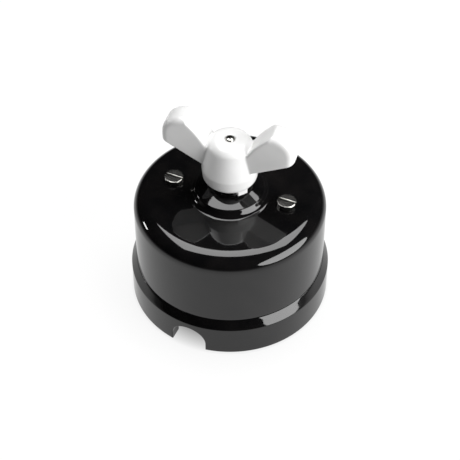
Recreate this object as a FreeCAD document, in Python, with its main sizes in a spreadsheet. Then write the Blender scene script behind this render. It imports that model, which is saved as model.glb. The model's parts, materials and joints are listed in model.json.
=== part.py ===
"""Surface-mounted porcelain rotary switch: base, cover, wing knob and snap mechanism.

Millimetres, +Z up. The origin is on the spindle's axis, on the surface that the base stands on.
The two cover screws lie on the X axis, and the cable notch is in the front of the base's rim.
"""
import FreeCAD, Part
import math
import os
import re
import Sketcher
from FreeCAD import Placement, Rotation, Vector

doc = FreeCAD.newDocument("rotary_switch")
Z_AXIS = Vector(0, 0, 1)
SKETCH_UP = Vector(0, 1, 0)
FIRST_GUESS = 0.2
SMALLEST_CUT = 1e-6

# Driving dimensions

DIMENSIONS = {
    # porcelain base
    "base_radius": 37.0,
    "rim_height": 12.2,
    "rim_wall": 5.0,
    "rim_edge": 0.6,
    "base_height": 15.7,
    "floor_thickness": 5.0,
    "spigot_height": 2.0,
    "spigot_edge": 0.6,
    "hollow_fillet": 2.0,
    "notch_width": 13.8,
    "notch_height": 10.1,
    "notch_turn": -7.6,
    "notch_crown_flat": 0.02,
    "cable_hole_length": 12.0,
    "cable_hole_width": 6.0,
    "cable_hole_corner": 1.6,
    "cable_hole_inset": 5.2,
    "cable_hole_side": -3.4,
    "wall_hole_radius": 2.3,
    "wall_hole_inset": 5.2,
    "wall_hole_turn": 27.0,
    "wall_boss_radius": 4.8,
    "recess_depth": 3.0,
    "cut_margin": 1.0,
    # porcelain cover
    "cover_radius": 35.0,
    "cover_wall": 3.8,
    "cover_fit": 0.4,
    "cover_height": 46.3,
    "cover_roof": 4.3,
    "cover_edge": 0.4,
    "shoulder_radius": 6.0,
    "roof_fillet": 3.0,
    "collar_share": 0.8225,
    "collar_slope": 2.0,
    "collar_height": 2.9,
    "collar_fillet": 2.0,
    "collar_edge": 0.7,
    "dome_rise": 0.7,
    "spindle_opening": 6.2,
    "opening_edge": 0.6,
    "cover_screw_inset": 9.95,
    # white wing knob
    "knob_gap": 4.4,
    "knob_height": 18.9,
    "boss_foot_radius": 9.7,
    "boss_foot_round": 2.8,
    "boss_belly_radius": 10.15,
    "boss_belly_height": 6.0,
    "boss_belly_round": 0.6,
    "boss_top_radius": 7.7,
    "boss_crown": 0.3,
    "boss_top_round": 2.6,
    "hub_radius": 4.7,
    "hub_floor": 4.0,
    "skirt_hollow_radius": 6.3,
    "skirt_depth": 9.0,
    "wing_thickness": 8.4,
    "wing_root": 4.0,
    "wing_root_bottom": 5.1,
    "wing_root_top": 9.4,
    "wing_span": 23.8,
    "wing_tip_bottom": 15.3,
    "wing_shoulder_span": 23.2,
    "wing_shoulder_height": 23.8,
    "wing_apex_span": 16.4,
    "wing_apex_height": 26.9,
    "wing_shoulder_round": 2.8,
    "wing_apex_round": 1.8,
    "wing_edge_round": 1.3,
    "lug_radius": 8.7,
    "lug_width": 3.9,
    "lug_height": 2.0,
    "lug_depth": 1.0,
    "lug_turn": -43.5,
    "screw_recess_radius": 1.75,
    "screw_recess_depth": 1.8,
    # screws
    "knob_screw_radius": 1.0,
    "knob_screw_head_radius": 1.6,
    "knob_screw_head": 1.2,
    "knob_screw_length": 12.0,
    "knob_thread_stop": 2.0,
    "cross_width": 0.55,
    "cross_length": 2.0,
    "cross_depth": 0.7,
    "cross_turn": 20.0,
    "cover_screw_radius": 1.75,
    "cover_screw_head_radius": 3.5,
    "cover_screw_head": 1.8,
    "cover_screw_slot": 0.9,
    "cover_slot_turn": -5.0,
    "machine_slot_turn": 35.0,
    "machine_screw_radius": 1.5,
    "machine_head_radius": 2.75,
    "machine_head": 2.0,
    "slot_width": 0.8,
    "slot_share": 0.45,
    "screw_clearance": 0.15,
    "thread_clearance": 0.05,
    "thread_runout": 1.0,
    "head_edge": 0.35,
    "terminal_screw_lift": 1.0,
    "bridge_nut_flats": 5.5,
    "bridge_nut_height": 2.4,
    "nut_clearance": 0.15,
    # pillars
    "pillar_flats": 7.0,
    "pillar_thread_share": 0.45,
    # folded steel bridge
    "sheet_thickness": 1.5,
    "bend_radius": 1.0,
    "bridge_inside": 12.4,
    "bridge_foot_end": 22.0,
    "bridge_screw_circle": 18.6,
    "bridge_half_width": 9.5,
    "bridge_leg_half_width": 4.5,
    "bridge_neck_gap": 0.5,
    # spindle and its bearing
    "spindle_radius": 3.0,
    "pivot_radius": 2.5,
    "pivot_depth": 3.5,
    "pivot_clearance": 0.1,
    "running_fit": 0.04,
    "keyed_fit": 0.05,
    "drive_flats": 4.8,
    "bush_radius": 4.5,
    "bush_flange_radius": 6.2,
    "bush_flange": 1.0,
    "bush_share": 0.247,
    "bush_roof_gap": 0.5,
    "bush_nut_flats": 12.0,
    "bush_nut_height": 2.5,
    "ring_thickness": 0.8,
    "ring_radius": 4.8,
    "ring_groove_radius": 2.4,
    "ring_mouth": 4.0,
    "washer_thickness": 0.7,
    "washer_radius": 5.4,
    # indexing
    "index_flats": 13.0,
    "index_corner": 1.5,
    "index_share": 0.33,
    "index_ring_gap": 0.5,
    "leaf_thickness": 0.5,
    "leaf_overlap": 0.6,
    "leaf_half_flat": 3.2,
    "leaf_tab": 4.0,
    "leaf_half_length": 9.2,
    "leaf_bend": 1.2,
    "leaf_rivet_radius": 0.8,
    "leaf_rivet_inset": 1.7,
    "leaf_rivet_head_radius": 1.1,
    "leaf_rivet_head": 0.6,
    # contacts
    "contact_turn": 45.0,
    "contact_circle": 8.8,
    "contact_radius": 2.0,
    "contact_height": 0.8,
    "strip_thickness": 1.0,
    "strip_width": 4.6,
    "bar_thickness": 1.0,
    "bar_width": 6.0,
    "bar_end_round": 2.4,
    "rotor_radius": 11.2,
    "rotor_share": 0.42,
    "rotor_edge": 0.8,
    "contact_rivet_circle": 7.8,
    "contact_rivet_radius": 1.1,
    "contact_rivet_head_radius": 1.8,
    "contact_rivet_head": 0.6,
    "coil_wire_radius": 0.22,
    "coil_radius": 4.4,
    "coil_half_turns": 5,
    # terminals
    "terminal_side": 13.2,
    "terminal_wall_gap": 1.5,
    "terminal_width": 7.5,
    "terminal_length": 9.2,
    "terminal_height": 8.0,
    "terminal_edge": 0.6,
    "wire_hole_radius": 1.8,
    "wire_hole_depth": 5.5,
    "wire_hole_height": 3.6,
    "terminal_screw_inset": 2.8,
    "terminal_fixing_inset": 2.4,
    "terminal_fixing_grip": 4.0,
}

# Sizes that follow from the ones above

DERIVED = {
    "floor_height": "base_height - floor_thickness",
    "land_height": "base_height + spigot_height",
    "recess_top": "floor_height + recess_depth",
    "cover_inner_radius": "cover_radius - cover_wall",
    "spigot_radius": "cover_inner_radius - cover_fit",
    "roof_underside": "cover_height - cover_roof",
    "cover_screw_circle": "cover_inner_radius - cover_screw_inset",
    "collar_foot_radius": "(cover_screw_circle - cover_screw_head_radius) * collar_share",
    "collar_rim_radius": "collar_foot_radius - collar_slope",
    "cable_hole_radius": "cover_inner_radius - cable_hole_inset",
    "wall_hole_circle": "cover_inner_radius - wall_hole_inset",
    "pillar_height": "roof_underside - land_height",
    "pillar_thread_depth": "pillar_height * pillar_thread_share",
    "cover_screw_length": "cover_roof + pillar_thread_depth - thread_runout",
    "pillar_screw_length": "land_height - recess_top + pillar_thread_depth - thread_runout",
    "knob_bottom": "cover_height + collar_height + knob_gap",
    "spindle_top": "knob_bottom + knob_height - screw_recess_depth - hub_floor",
    "pivot_bottom": "land_height - pivot_depth",
    "strip_top": "land_height + strip_thickness",
    "contact_top": "strip_top + contact_height",
    "bar_top": "contact_top + bar_thickness",
    "bush_height": "(roof_underside - land_height) * bush_share",
    "bush_bottom": "roof_underside - bush_roof_gap - bush_height - bush_flange",
    "bridge_underside": "bush_bottom + bush_flange",
    "bridge_top": "bridge_underside + sheet_thickness",
    "bridge_clear_height": "bridge_underside - land_height",
    "ring_bottom": "bush_bottom - washer_thickness - ring_thickness",
    "index_top": "ring_bottom - index_ring_gap",
    "drive_height": "index_top - bar_top",
    "index_thickness": "drive_height * index_share",
    "index_bottom": "index_top - index_thickness",
    "rotor_height": "drive_height * rotor_share",
    "rotor_top": "bar_top + rotor_height",
    "leaf_height": "index_thickness + leaf_overlap",
    "leaf_bottom": "index_top - (index_thickness + leaf_height) / 2",
    "leaf_rivet_side": "leaf_half_length - leaf_rivet_inset",
    "bridge_neck_height": "leaf_bottom - land_height - bridge_neck_gap",
    "contact_rivet_place": "contact_rivet_circle * cos(contact_turn * 1 deg)",
    "terminal_top": "strip_top + terminal_height",
    "terminal_left": "terminal_side - terminal_width / 2",
    "terminal_right": "terminal_side + terminal_width / 2",
    "terminal_outer": "sqrt((cover_inner_radius - terminal_wall_gap)^2 - terminal_right^2)",
    "terminal_inner": "terminal_outer - terminal_length",
    "clamp_place": "terminal_outer - terminal_screw_inset",
    "fixing_place": "terminal_inner + terminal_fixing_inset",
}

sizes = doc.addObject("Spreadsheet::Sheet", "sizes")
for row, (alias, number) in enumerate(DIMENSIONS.items(), start=1):
    sizes.set(f"A{row}", alias)
    sizes.set(f"B{row}", str(number))
    sizes.setAlias(f"B{row}", alias)
for row, (alias, formula) in enumerate(DERIVED.items(), start=len(DIMENSIONS) + 1):
    sizes.set(f"A{row}", alias)
    sizes.set(f"B{row}", "=" + formula)
    sizes.setAlias(f"B{row}", alias)
doc.recompute()

WORDS = re.compile(r"\b(" + "|".join([*DIMENSIONS, *DERIVED]) + r")\b")
parts = []


def on_sheet(formula):
    """The formula with each of the sheet's words written as a reference to its cell."""
    return WORDS.sub(r"sizes.\1", formula)


def bind(thing, place, formula):
    thing.setExpression(place, on_sheet(formula))


def new_body(label, lift=None):
    """A named piece, raised to the height that the formula gives."""
    body = doc.addObject("PartDesign::Body", label)
    body.Label = label
    body.AllowCompound = True
    if lift:
        bind(body, ".Placement.Base.z", lift)
    parts.append(body)
    return body


def origin_feature(body, role):
    return next(item for item in body.Origin.OriginFeatures if item.Role == role)


# Sketches

def new_sketch(body, name, plane, lift=None, turn=None, about=Z_AXIS):
    """An empty sketch on one of the piece's own planes, lifted and turned by formulas."""
    sketch = body.newObject("Sketcher::SketchObject", name)
    sketch.AttachmentSupport = [(origin_feature(body, plane), "")]
    sketch.MapMode = "FlatFace"
    if turn:
        sketch.AttachmentOffset = Placement(Vector(), Rotation(about, 1))
        bind(sketch, ".AttachmentOffset.Rotation.Angle", turn)
    if lift:
        bind(sketch, ".AttachmentOffset.Base.z", lift)
    return sketch


def pin(sketch, item, end, x, y):
    """Hold a point of the sketch at the place that two formulas give."""
    if x == "0":
        sketch.addConstraint(Sketcher.Constraint("PointOnObject", item, end, -2))
    else:
        number = sketch.addConstraint(Sketcher.Constraint("DistanceX", -1, 1, item, end, 1.0))
        bind(sketch, f"Constraints[{number}]", x)
    if y == "0":
        sketch.addConstraint(Sketcher.Constraint("PointOnObject", item, end, -1))
    else:
        number = sketch.addConstraint(Sketcher.Constraint("DistanceY", -1, 1, item, end, 1.0))
        bind(sketch, f"Constraints[{number}]", y)


def set_radius(sketch, item, radius):
    guess = sketch.Geometry[item].Radius
    number = sketch.addConstraint(Sketcher.Constraint("Radius", item, guess))
    bind(sketch, f"Constraints[{number}]", radius)


def add_corner_arc(sketch, before, corner, after):
    """An arc that rounds a corner, and which of its ends meet the sides before and after it."""
    arm_in, arm_out = before - corner, after - corner
    half = arm_in.getAngle(arm_out) / 2
    centre = corner + (arm_in + arm_out).normalize() * (arm_in.Length / math.cos(half))
    turns_left = (corner - before).cross(arm_out).z > 0
    start, end = (before, after) if turns_left else (after, before)
    first = math.atan2(start.y - centre.y, start.x - centre.x)
    last = math.atan2(end.y - centre.y, end.x - centre.x)
    circle = Part.Circle(centre, Z_AXIS, arm_in.Length * math.tan(half))
    arc = Part.ArcOfCircle(circle, first, last if last > first else last + 2 * math.pi)
    return sketch.addGeometry(arc, False), (1, 2) if turns_left else (2, 1)


def add_outline(sketch, corners):
    """A closed outline whose corners are (x, y) or (x, y, rounding), all formulas."""
    marks = []
    for corner in corners:
        mark = sketch.addGeometry(Part.Point(Vector(1, 1, 0)), True)
        pin(sketch, mark, 1, corner[0], corner[1])
        marks.append(mark)
    doc.recompute()
    places = [Vector(sketch.Geometry[mark].X, sketch.Geometry[mark].Y, 0) for mark in marks]
    count = len(corners)
    before, after = [], []
    for here in range(count):
        to_last = places[here - 1] - places[here]
        to_next = places[(here + 1) % count] - places[here]
        reach = FIRST_GUESS * min(to_last.Length, to_next.Length) if len(corners[here]) > 2 else 0
        before.append(places[here] + to_last.normalize() * reach)
        after.append(places[here] + to_next.normalize() * reach)
    sides = []
    for here in range(count):
        side = Part.LineSegment(after[here], before[(here + 1) % count])
        sides.append(sketch.addGeometry(side, False))
    for here, corner in enumerate(corners):
        into, out = sides[here - 1], sides[here]
        if len(corner) == 2:
            sketch.addConstraint(Sketcher.Constraint("Coincident", into, 2, marks[here], 1))
            sketch.addConstraint(Sketcher.Constraint("Coincident", out, 1, marks[here], 1))
            continue
        arc, ends = add_corner_arc(sketch, before[here], places[here], after[here])
        sketch.addConstraint(Sketcher.Constraint("PointOnObject", marks[here], 1, into))
        sketch.addConstraint(Sketcher.Constraint("PointOnObject", marks[here], 1, out))
        sketch.addConstraint(Sketcher.Constraint("Tangent", into, 2, arc, ends[0]))
        sketch.addConstraint(Sketcher.Constraint("Tangent", out, 1, arc, ends[1]))
        set_radius(sketch, arc, corner[2])
    doc.recompute()
    return sketch


def add_circle(sketch, x, y, radius):
    circle = sketch.addGeometry(Part.Circle(Vector(1, 1, 0), Z_AXIS, 1), False)
    pin(sketch, circle, 3, x, y)
    set_radius(sketch, circle, radius)
    return sketch


def box_corners(left, right, low, high, rounding=None):
    """The corners of a rectangle between four formulas."""
    corners = [(left, low), (right, low), (right, high), (left, high)]
    return [(*corner, rounding) for corner in corners] if rounding else corners


def hexagon_corners(across_flats, x="0"):
    """The corners of a hexagon with two flats facing along Y, centred at x."""
    return [
        (f"{x} + ({across_flats}) / sqrt(3) * cos({60 * corner} deg)",
         f"({across_flats}) / sqrt(3) * sin({60 * corner} deg)" if corner % 3 else "0")
        for corner in range(6)
    ]


# Features

def finish(body, feature):
    body.Tip = feature
    doc.recompute()
    return feature


def pad(body, sketch, length, reverse=False, both_ways=False):
    feature = body.newObject("PartDesign::Pad", sketch.Name + "_pad")
    feature.Profile = sketch
    feature.Reversed = reverse
    feature.Midplane = both_ways
    bind(feature, "Length", length)
    return finish(body, feature)


def pocket(body, sketch, length=None, reverse=False, both_ways=False):
    """Cut the sketch's area out, through everything where no length is given."""
    feature = body.newObject("PartDesign::Pocket", sketch.Name + "_cut")
    feature.Profile = sketch
    feature.Reversed = reverse
    feature.Midplane = both_ways
    if length:
        bind(feature, "Length", length)
    else:
        feature.Type = "ThroughAll"
    finish(body, feature)
    if feature.Shape.Volume > feature.BaseFeature.Shape.Volume - SMALLEST_CUT:
        raise RuntimeError(f"{feature.Name} cuts nothing")
    return feature


def revolve(body, sketch):
    feature = body.newObject("PartDesign::Revolution", sketch.Name + "_turned")
    feature.Profile = sketch
    feature.ReferenceAxis = (sketch, ["V_Axis"])
    feature.Angle = 360
    return finish(body, feature)


def round_edges(body, name, radius, chosen):
    """Round the edges that a test picks, and those that run on smoothly from them."""
    last = body.Tip
    picked = [f"Edge{n}" for n, edge in enumerate(last.Shape.Edges, start=1) if chosen(edge)]
    feature = body.newObject("PartDesign::Fillet", name)
    feature.Base = (last, picked)
    bind(feature, "Radius", radius)
    return finish(body, feature)


def repeat_round(body, features, count):
    """Repeat features round the vertical axis."""
    feature = body.newObject("PartDesign::PolarPattern", body.Name + "_ring")
    feature.Originals = features
    feature.Axis = (origin_feature(body, "Z_Axis"), [""])
    feature.Angle = 360
    feature.Occurrences = count
    return finish(body, feature)


def turned_piece(label, corners, lift=None):
    """A piece turned about the vertical axis from corners (radius, height[, rounding])."""
    body = new_body(label, lift)
    sketch = new_sketch(body, label + "_profile", "XZ_Plane")
    revolve(body, add_outline(sketch, corners))
    return body


def round_holes(body, name, places, radius, length=None, lift=None, reverse=False):
    """Vertical holes at places (x, y), cut down from a height, or up."""
    sketch = new_sketch(body, name, "XY_Plane", lift)
    for x, y in places:
        add_circle(sketch, x, y, radius)
    return pocket(body, sketch, length, reverse)


# Porcelain base

def make_base():
    hollow_radius = "base_radius - rim_wall"
    base = turned_piece("base", [
        ("base_radius", "0", "rim_edge"),
        ("base_radius", "rim_height", "rim_edge"),
        ("cover_radius", "base_height"),
        ("spigot_radius", "base_height"),
        ("spigot_radius", "land_height", "spigot_edge"),
        ("0", "land_height"),
        ("0", "floor_height"),
        (hollow_radius, "floor_height", "hollow_fillet"),
        (hollow_radius, "0"),
    ])

    # tubes round the wall screws, down to the wall
    across = "wall_hole_circle * cos(wall_hole_turn * 1 deg)"
    along = "wall_hole_circle * sin(wall_hole_turn * 1 deg)"
    wall_places = [(across, along), (f"-{across}", f"-{along}")]
    tubes = new_sketch(base, "wall_tubes", "XY_Plane")
    for x, y in wall_places:
        add_circle(tubes, x, y, "wall_boss_radius")
    pad(base, tubes, "floor_height")
    round_holes(base, "wall_holes", wall_places, "wall_hole_radius", reverse=True)

    # cable notch: an arch through the rim, open at the bottom
    notch = new_sketch(base, "cable_notch", "XZ_Plane", turn="notch_turn", about=SKETCH_UP)
    half = "notch_width / 2"
    crown = "(notch_width - notch_crown_flat) / 2"
    add_outline(notch, [
        (f"-{half}", "-cut_margin"),
        (half, "-cut_margin"),
        (half, "notch_height", crown),
        (f"-{half}", "notch_height", crown),
    ])
    pocket(base, notch, "base_radius + cut_margin", reverse=True)

    # cable hole up into the terminal space
    cable_hole = new_sketch(base, "cable_hole", "XY_Plane")
    add_outline(cable_hole, box_corners(
        "cable_hole_side - cable_hole_length / 2",
        "cable_hole_side + cable_hole_length / 2",
        "-cable_hole_radius - cable_hole_width / 2",
        "-cable_hole_radius + cable_hole_width / 2",
        "cable_hole_corner",
    ))
    pocket(base, cable_hole, reverse=True)

    # blind hole for the spindle's foot
    round_holes(base, "pivot_hole", [("0", "0")], "pivot_radius + pivot_clearance",
                "pivot_depth + pivot_clearance", "land_height")

    # holes and recesses for the screws from below
    pillar_places = [("cover_screw_circle", "0"), ("-cover_screw_circle", "0")]
    round_holes(base, "pillar_holes", pillar_places, "cover_screw_radius + screw_clearance",
                reverse=True)
    round_holes(base, "pillar_recesses", pillar_places, "cover_screw_head_radius + screw_clearance",
                "recess_top", reverse=True)
    bridge_places = [("0", "bridge_screw_circle"), ("0", "-bridge_screw_circle")]
    round_holes(base, "bridge_holes", bridge_places, "machine_screw_radius + screw_clearance",
                reverse=True)
    recess = new_sketch(base, "nut_recesses", "XY_Plane", turn="90")
    for side in ("bridge_screw_circle", "-bridge_screw_circle"):
        add_outline(recess, hexagon_corners("bridge_nut_flats + 2 * nut_clearance", side))
    pocket(base, recess, "recess_top", reverse=True)
    fixing = round_holes(base, "terminal_holes", [("terminal_side", "fixing_place")],
                         "machine_screw_radius + screw_clearance", reverse=True)
    recesses = round_holes(base, "terminal_recesses", [("terminal_side", "fixing_place")],
                           "machine_head_radius + screw_clearance", "recess_top", reverse=True)
    repeat_round(base, [fixing, recesses], 4)
    return base


# Porcelain cover

def make_cover():
    roof = "cover_height - base_height"
    rim = f"{roof} + collar_height"
    cover = turned_piece("cover", [
        ("cover_radius", "0", "cover_edge"),
        ("cover_radius", roof, "shoulder_radius"),
        ("collar_foot_radius", roof, "collar_fillet"),
        ("collar_rim_radius", rim, "collar_edge"),
        ("spindle_opening", f"{rim} + dome_rise", "opening_edge"),
        ("spindle_opening", f"{roof} - cover_roof"),
        ("cover_inner_radius", f"{roof} - cover_roof", "roof_fillet"),
        ("cover_inner_radius", "0"),
    ], "base_height")
    round_holes(cover, "cover_screw_holes",
                [("cover_screw_circle", "0"), ("-cover_screw_circle", "0")],
                "cover_screw_radius + screw_clearance", reverse=True)
    return cover


# Wing knob

def wing_corners(side):
    """A wing's outline, on the right for side 1 and on the left for side -1."""
    corners = [
        ("wing_root", "wing_root_bottom"),
        ("wing_span", "wing_tip_bottom"),
        ("wing_shoulder_span", "wing_shoulder_height", "wing_shoulder_round"),
        ("wing_apex_span", "wing_apex_height", "wing_apex_round"),
        ("wing_root", "wing_root_top"),
    ]
    return [(f"{side} * {corner[0]}", *corner[1:]) for corner in corners]


def flatted_outline(sketch, radius, flats):
    """A circle with two flats, as an outline of two straight sides and two arcs."""
    half = f"({flats}) / 2"
    reach = f"sqrt(({radius})^2 - ({half})^2)"
    corners = [(f"-{reach}", f"-{half}"), (reach, f"-{half}"), (reach, half), (f"-{reach}", half)]
    marks = []
    for x, y in corners:
        mark = sketch.addGeometry(Part.Point(Vector(1, 1, 0)), True)
        pin(sketch, mark, 1, x, y)
        marks.append(mark)
    doc.recompute()
    places = [Vector(sketch.Geometry[mark].X, sketch.Geometry[mark].Y, 0) for mark in marks]
    full = places[1].Length
    for first, last, bulge in ((0, 1, 0), (1, 2, full), (2, 3, 0), (3, 0, -full)):
        if bulge:
            edge = Part.Arc(places[first], Vector(bulge, 0, 0), places[last])
        else:
            edge = Part.LineSegment(places[first], places[last])
        item = sketch.addGeometry(edge, False)
        sketch.addConstraint(Sketcher.Constraint("Coincident", item, 1, marks[first], 1))
        sketch.addConstraint(Sketcher.Constraint("Coincident", item, 2, marks[last], 1))
        if bulge:
            set_radius(sketch, item, radius)
    doc.recompute()
    return sketch


def make_knob():
    knob = turned_piece("knob", [
        ("0", "0"),
        ("boss_foot_radius", "0", "boss_foot_round"),
        ("boss_belly_radius", "boss_belly_height", "boss_belly_round"),
        ("boss_top_radius", "knob_height - boss_crown", "boss_top_round"),
        ("0", "knob_height"),
    ], "knob_bottom")
    for side in (1, -1):
        wing = new_sketch(knob, "wing_right" if side > 0 else "wing_left", "XZ_Plane")
        pad(knob, add_outline(wing, wing_corners(side)), "wing_thickness", both_ways=True)

    # soft edges from each wing's tip over its apex to the boss
    tip = sizes.get("wing_shoulder_span") - sizes.get("wing_edge_round")
    round_edges(knob, "wing_edges", "wing_edge_round", lambda edge: all(
        abs(corner.X) > tip and abs(corner.Y) > 0 for corner in edge.Vertexes
    ) and abs(edge.Vertexes[0].Y - edge.Vertexes[-1].Y) < SMALLEST_CUT)

    # small lug under the foot
    lug = new_sketch(knob, "lug", "XY_Plane", "lug_height - lug_depth", "lug_turn")
    add_outline(lug, box_corners(
        "skirt_hollow_radius", "lug_radius", "-lug_width / 2", "lug_width / 2"))
    pad(knob, lug, "lug_height", reverse=True)

    # the skirt is hollow round the hub
    hollow = new_sketch(knob, "skirt_hollow", "XY_Plane")
    add_circle(hollow, "0", "0", "skirt_hollow_radius")
    add_circle(hollow, "0", "0", "hub_radius")
    pocket(knob, hollow, "skirt_depth", reverse=True)

    # flatted socket for the spindle, and the way for the screw
    socket = new_sketch(knob, "socket", "XY_Plane")
    flatted_outline(socket, "spindle_radius + keyed_fit", "drive_flats + 2 * keyed_fit")
    pocket(knob, socket, "spindle_top - knob_bottom", reverse=True)
    round_holes(knob, "screw_way", [("0", "0")], "knob_screw_radius + screw_clearance", reverse=True)
    round_holes(knob, "screw_recess", [("0", "0")], "screw_recess_radius",
                "screw_recess_depth", "knob_height")
    return knob


# Fasteners

def screw(label, lift, x, y, size, head_below=False, count=2, slot=("slot_width", "machine_slot_turn")):
    """A slotted screw whose head sits at the lift's height, repeated round the axis.

    size holds the formulas of the shank's radius and length and the head's radius and height.
    """
    shank_radius, shank_length, head_radius, head_height = size
    body = new_body(label, lift)
    up = "-1" if head_below else "1"
    head = new_sketch(body, label + "_heads", "XY_Plane")
    add_circle(head, x, y, head_radius)
    heads = pad(body, head, head_height, reverse=head_below)
    shank = new_sketch(body, label + "_shanks", "XY_Plane")
    add_circle(shank, x, y, shank_radius)
    shanks = pad(body, shank, shank_length, reverse=not head_below)
    width, turn = slot
    cut = new_sketch(body, label + "_slots", "XY_Plane", f"{up} * ({head_height})", turn)
    bind(cut, ".AttachmentOffset.Base.x", x)
    bind(cut, ".AttachmentOffset.Base.y", y)
    reach = f"({head_radius} + cut_margin)"
    add_outline(cut, box_corners(f"-{reach}", reach, f"-{width} / 2", f"{width} / 2"))
    slots = pocket(body, cut, f"{head_height} * slot_share", reverse=head_below)
    repeat_round(body, [heads, shanks, slots], count)
    return body


def make_screws():
    machine = ("machine_screw_radius", "machine_head_radius", "machine_head")
    screw("cover_screws", "cover_height", "cover_screw_circle", "0",
          ("cover_screw_radius", "cover_screw_length", "cover_screw_head_radius",
           "cover_screw_head"), slot=("cover_screw_slot", "cover_slot_turn"))
    screw("pillar_screws", "recess_top", "cover_screw_circle", "0",
          ("cover_screw_radius", "pillar_screw_length", "cover_screw_head_radius",
           "machine_head"), head_below=True)
    bridge_grip = "land_height + sheet_thickness - recess_top"
    screw("bridge_screws", "land_height + sheet_thickness", "0", "bridge_screw_circle",
          (machine[0], f"{bridge_grip} + bridge_nut_height", *machine[1:]))
    screw("terminal_fixings", "recess_top", "terminal_side", "fixing_place",
          (machine[0], "strip_top - recess_top + terminal_fixing_grip", *machine[1:]),
          head_below=True, count=4)
    screw("terminal_screws", "terminal_top + terminal_screw_lift", "terminal_side", "clamp_place",
          (machine[0], "terminal_screw_lift + terminal_height - wire_hole_height", *machine[1:]),
          count=4)


def make_nuts():
    nuts = new_body("bridge_nuts", "recess_top")
    outline = new_sketch(nuts, "nut_outline", "XY_Plane", turn="90")
    add_outline(outline, hexagon_corners("bridge_nut_flats", "bridge_screw_circle"))
    add_circle(outline, "bridge_screw_circle", "0", "machine_screw_radius + thread_clearance")
    repeat_round(nuts, [pad(nuts, outline, "bridge_nut_height", reverse=True)], 2)

    nut = new_body("bush_nut", "bridge_top")
    outline = new_sketch(nut, "bush_nut_outline", "XY_Plane")
    add_outline(outline, hexagon_corners("bush_nut_flats", "0"))
    add_circle(outline, "0", "0", "bush_radius + thread_clearance")
    pad(nut, outline, "bush_nut_height")


def make_pillars():
    pillars = new_body("pillars", "land_height")
    outline = new_sketch(pillars, "pillar_outline", "XY_Plane")
    add_outline(outline, hexagon_corners("pillar_flats", "cover_screw_circle"))
    posts = pad(pillars, outline, "pillar_height")
    place = [("cover_screw_circle", "0")]
    radius = "cover_screw_radius + thread_clearance"
    lower = round_holes(pillars, "lower_threads", place, radius, "pillar_thread_depth", reverse=True)
    upper = round_holes(pillars, "upper_threads", place, radius, "pillar_thread_depth",
                        "pillar_height")
    repeat_round(pillars, [posts, lower, upper], 2)


def make_knob_screw():
    body = turned_piece("knob_screw", [
        ("0", "-knob_screw_length"),
        ("knob_screw_radius - thread_clearance", "-knob_screw_length"),
        ("knob_screw_radius - thread_clearance", "0"),
        ("knob_screw_head_radius", "0"),
        ("knob_screw_head_radius", "knob_screw_head", "head_edge"),
        ("0", "knob_screw_head"),
    ], "knob_bottom + knob_height - screw_recess_depth")
    for name, turn in (("cross_along", "cross_turn"), ("cross_across", "cross_turn + 90")):
        cut = new_sketch(body, name, "XY_Plane", "knob_screw_head", turn)
        add_outline(cut, box_corners("-cross_length / 2", "cross_length / 2",
                                     "-cross_width / 2", "cross_width / 2"))
        pocket(body, cut, "cross_depth")


# Bridge and bearing

def make_bridge():
    bridge = new_body("bridge", "land_height")
    outer = "bend_radius + sheet_thickness"
    inside, outside = "bridge_inside", "bridge_inside + sheet_thickness"
    top, roof = "bridge_clear_height", "bridge_clear_height + sheet_thickness"
    half = [
        ("bridge_foot_end", "0"),
        ("bridge_foot_end", "sheet_thickness"),
        (outside, "sheet_thickness", "bend_radius"),
        (outside, roof, outer),
    ]
    inner = [(inside, top, "bend_radius"), (inside, "0", outer)]
    right = half
    left = [(f"-({corner[0]})", *corner[1:]) for corner in reversed(half)]
    below_left = [(f"-{corner[0]}", *corner[1:]) for corner in reversed(inner)]
    profile = new_sketch(bridge, "bridge_profile", "YZ_Plane")
    add_outline(profile, right + left + below_left + inner)
    pad(bridge, profile, "2 * bridge_half_width", both_ways=True)

    # the legs narrow towards the feet
    for side in (1, -1):
        cut = new_sketch(bridge, f"leg_cut_{'right' if side > 0 else 'left'}", "XZ_Plane")
        add_outline(cut, box_corners(f"{side} * bridge_leg_half_width",
                                     f"{side} * (bridge_half_width + cut_margin)",
                                     "-cut_margin", "bridge_neck_height"))
        pocket(bridge, cut, "2 * (bridge_foot_end + cut_margin)", both_ways=True)
    round_holes(bridge, "foot_holes", [("0", "bridge_screw_circle"), ("0", "-bridge_screw_circle")],
                "machine_screw_radius + screw_clearance", "2 * sheet_thickness",
                "2 * sheet_thickness")
    round_holes(bridge, "bush_hole", [("0", "0")], "bush_radius + thread_clearance", reverse=True)
    for side, name in ((-1, "rear"), (1, "front")):
        hole = new_sketch(bridge, name + "_rivet_hole", "XZ_Plane")
        add_circle(hole, f"{side} * leaf_rivet_side",
                   "leaf_bottom + leaf_height / 2 - land_height", "leaf_rivet_radius")
        pocket(bridge, hole, "bridge_foot_end", reverse=side > 0)


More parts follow.
